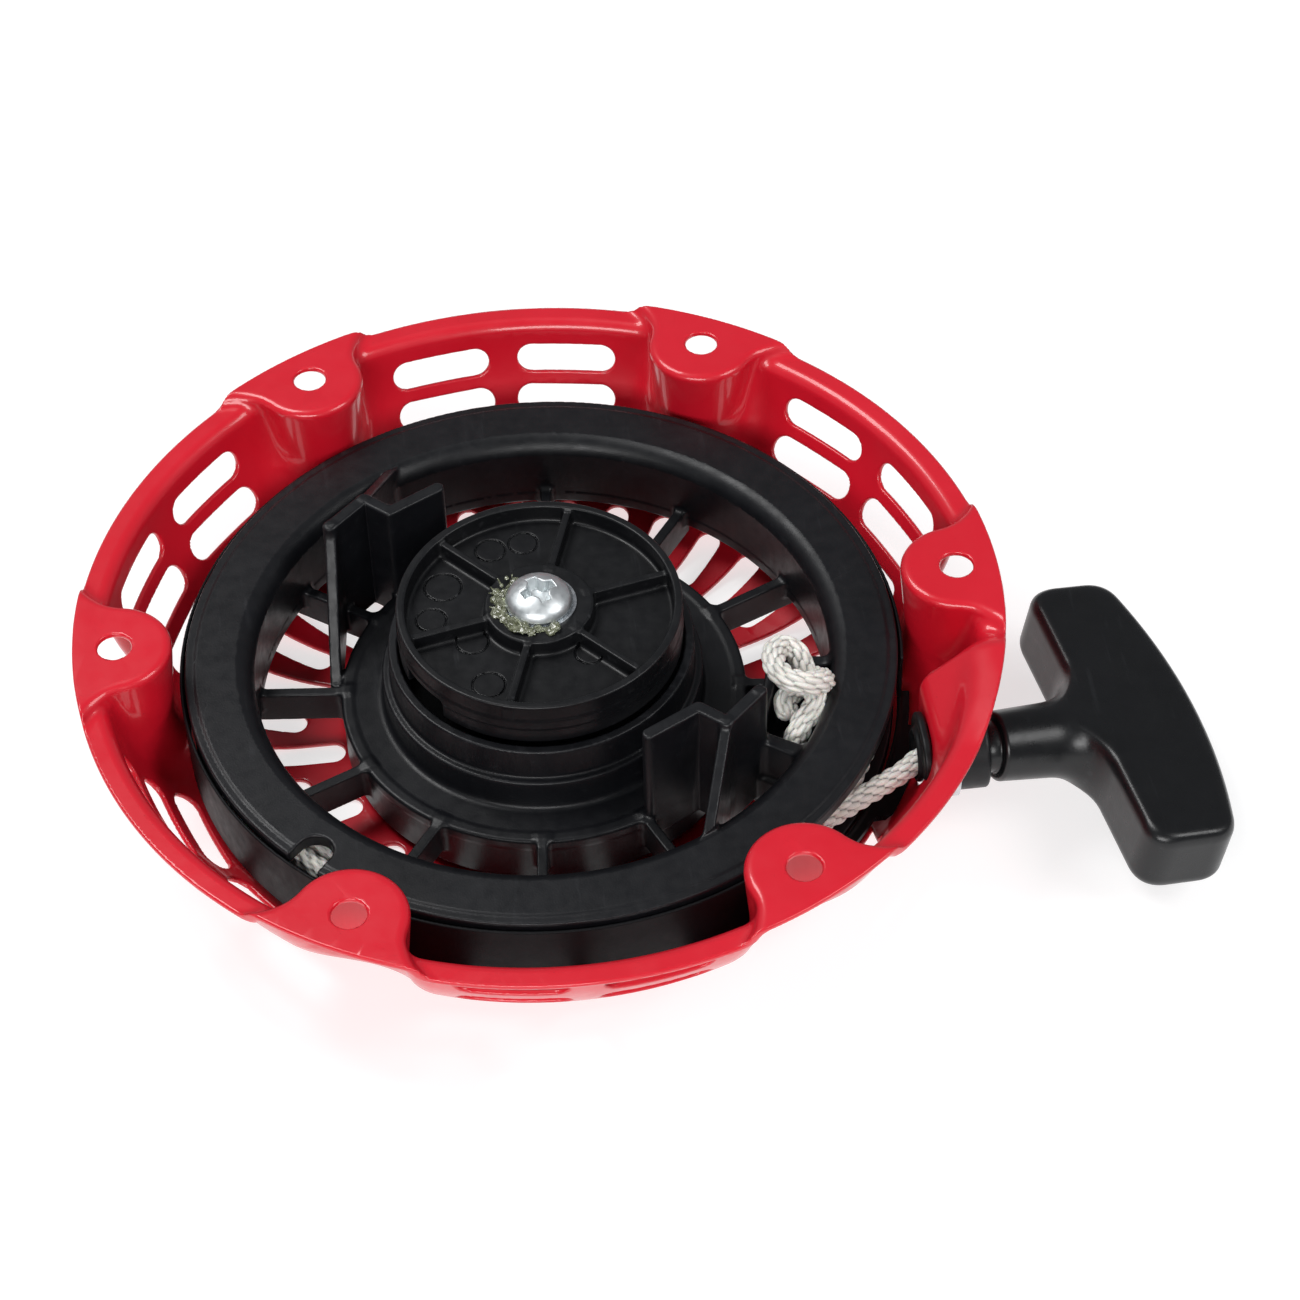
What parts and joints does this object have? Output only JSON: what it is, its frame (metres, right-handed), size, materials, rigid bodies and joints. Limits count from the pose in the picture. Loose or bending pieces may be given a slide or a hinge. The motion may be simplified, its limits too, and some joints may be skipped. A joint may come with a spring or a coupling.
{
  "type": "recoil starter",
  "caption": "Hand pull recoil starter: pressed steel housing with vent slots and mounting ears, moulded rope reel with drive dogs, retaining disc, braided rope and T-shaped grip.",
  "frame": {"origin": "centre of the ear hole circle on the plane of the ears' mounting faces, on the crank axis", "axes": "+Z along the crank axis towards the engine, +X through one ear's hole, on the side the rope leaves by"},
  "size_m": [0.2257, 0.188, 0.045],
  "materials": {
    "red_paint": "gloss",
    "black_nylon": "satin",
    "grip_plastic": "satin",
    "zinc_steel": "bright zinc",
    "spring_steel": "blued",
    "white_rope": "braided",
    "locker": "set liquid"
  },
  "bodies": {
    "housing": {"housing": "red_paint", "rope_guide": "black_nylon", "reel_shroud": "black_nylon", "guide_clip": "spring_steel", "centre_post": "zinc_steel", "thrust_washer": "zinc_steel", "retaining_disc": "black_nylon", "friction_spring": "spring_steel", "screw_washer": "zinc_steel", "centre_screw": "zinc_steel", "thread_locker": "locker", "recoil_spring": "spring_steel", "rope_run": "white_rope"},
    "reel": {"reel": "black_nylon", "reel_web": "black_nylon", "reel_rim": "black_nylon", "drive_dog_near": "black_nylon", "drive_dog_far": "black_nylon", "spring_pin": "zinc_steel", "rope_coil": "white_rope", "rope_knot": "white_rope"},
    "grip": {"grip": "grip_plastic", "grip_washer": "zinc_steel", "grip_knot": "white_rope", "rope_lead": "white_rope"}
  },
  "joints": [
    {"name": "reel_spin", "type": "hinge", "parent": "housing", "child": "reel", "pos_m": [0, 0, -0.02], "axis": [0, 0, 1], "range_deg": [0, 1020], "stiffness_Nm_per_rad": 0.02, "springref_deg": -687.55, "deforming": ["recoil_spring", "rope_coil"]},
    {"name": "grip_pull", "type": "slide", "parent": "housing", "child": "grip", "axis": [1, 0, 0], "range_m": [0, 1.22], "deforming": ["rope_lead"]}
  ],
  "couplings": [
    {"joint": "grip_pull", "follows": "reel_spin", "m_per_rad": 0.0685}
  ]
}
